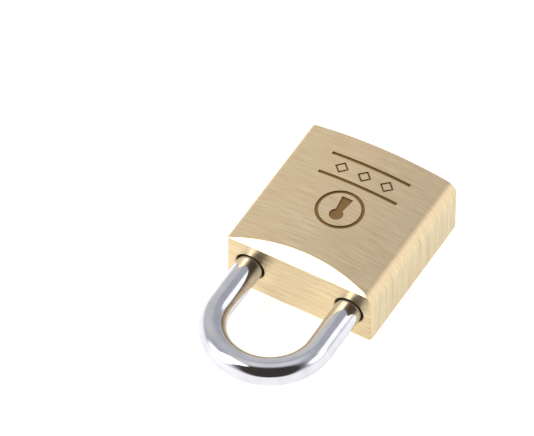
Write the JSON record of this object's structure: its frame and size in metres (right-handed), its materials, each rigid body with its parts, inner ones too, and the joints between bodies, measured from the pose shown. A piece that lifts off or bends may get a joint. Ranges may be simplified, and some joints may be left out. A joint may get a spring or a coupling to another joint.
{
  "type": "padlock",
  "caption": "Solid brass padlock lying on its back, with a chromed round-wire shackle, an edge bevel and a pin tumbler plug.",
  "frame": {"origin": "centre of the bounding box's bottom face, shackle closed: the lock lies on its crowned back", "axes": "+Z out of the front face, -Y out of the shackle end, +Y out of the key end, +X across the width towards the heel leg"},
  "size_m": [0.03, 0.054, 0.014],
  "materials": {
    "satin_brass": "satin brushed",
    "turned_brass": "turned",
    "slug_brass": "ground flush",
    "pin_brass": "turned",
    "driver_brass": "turned",
    "nickel_brass": "machined",
    "chromed_steel": "polished chrome plate",
    "pin_steel": "ground flush",
    "spring_steel": "drawn wire"
  },
  "bodies": {
    "case": {"body": "satin_brass", "bolt_channel_slug": "slug_brass", "plug_retaining_pin": "pin_steel", "shackle_retaining_pin": "pin_steel", "chamber_slug_1": "slug_brass", "chamber_slug_2": "slug_brass", "chamber_slug_3": "slug_brass", "chamber_slug_4": "slug_brass", "pin_spring_1": "spring_steel", "pin_spring_2": "spring_steel", "pin_spring_3": "spring_steel", "pin_spring_4": "spring_steel"},
    "shackle": {"shackle": "chromed_steel"},
    "plug": {"plug": "turned_brass"},
    "toe_bolt": {"toe_bolt": "nickel_brass", "toe_bolt_spring": "spring_steel"},
    "heel_bolt": {"heel_bolt": "nickel_brass", "heel_bolt_spring": "spring_steel"},
    "key_pin_1": {"key_pin_1": "pin_brass"},
    "key_pin_2": {"key_pin_2": "pin_brass"},
    "key_pin_3": {"key_pin_3": "pin_brass"},
    "key_pin_4": {"key_pin_4": "pin_brass"},
    "driver_pin_1": {"driver_pin_1": "driver_brass"},
    "driver_pin_2": {"driver_pin_2": "driver_brass"},
    "driver_pin_3": {"driver_pin_3": "driver_brass"},
    "driver_pin_4": {"driver_pin_4": "driver_brass"}
  },
  "joints": [
    {"name": "plug_turn", "type": "hinge", "parent": "case", "child": "plug", "pos_m": [0, 0.027, 0.007], "axis": [0, -1, 0], "range_deg": [-90, 0]},
    {"name": "shackle_lift", "type": "slide", "parent": "case", "child": "shackle", "axis": [0, -1, 0], "range_m": [0, 0.011]},
    {"name": "toe_bolt_slide", "type": "slide", "parent": "case", "child": "toe_bolt", "axis": [-1, 0, 0], "range_m": [0, 0.002], "deforming": ["toe_bolt_spring"]},
    {"name": "heel_bolt_slide", "type": "slide", "parent": "case", "child": "heel_bolt", "axis": [1, 0, 0], "range_m": [0, 0.002], "deforming": ["heel_bolt_spring"]},
    {"name": "key_pin_1_slide", "type": "slide", "parent": "plug", "child": "key_pin_1", "axis": [0, 0, 1], "range_m": [0, 0.00295]},
    {"name": "key_pin_2_slide", "type": "slide", "parent": "plug", "child": "key_pin_2", "axis": [0, 0, 1], "range_m": [0, 0.00175]},
    {"name": "key_pin_3_slide", "type": "slide", "parent": "plug", "child": "key_pin_3", "axis": [0, 0, 1], "range_m": [0, 0.00235]},
    {"name": "key_pin_4_slide", "type": "slide", "parent": "plug", "child": "key_pin_4", "axis": [0, 0, 1], "range_m": [0, 0.00135]},
    {"name": "driver_pin_1_slide", "type": "slide", "parent": "case", "child": "driver_pin_1", "axis": [-1, 0, 0], "range_m": [0, 0.0024], "stiffness_N_per_m": 150, "springref_m": -0.0006, "deforming": ["pin_spring_1"]},
    {"name": "driver_pin_2_slide", "type": "slide", "parent": "case", "child": "driver_pin_2", "axis": [-1, 0, 0], "range_m": [0, 0.0024], "stiffness_N_per_m": 150, "springref_m": -0.0006, "deforming": ["pin_spring_2"]},
    {"name": "driver_pin_3_slide", "type": "slide", "parent": "case", "child": "driver_pin_3", "axis": [-1, 0, 0], "range_m": [0, 0.0024], "stiffness_N_per_m": 150, "springref_m": -0.0006, "deforming": ["pin_spring_3"]},
    {"name": "driver_pin_4_slide", "type": "slide", "parent": "case", "child": "driver_pin_4", "axis": [-1, 0, 0], "range_m": [0, 0.0024], "stiffness_N_per_m": 150, "springref_m": -0.0006, "deforming": ["pin_spring_4"]}
  ],
  "couplings": [
    {"joint": "toe_bolt_slide", "follows": "plug_turn", "m_per_rad": -0.0012732},
    {"joint": "heel_bolt_slide", "follows": "plug_turn", "m_per_rad": -0.0012732}
  ]
}
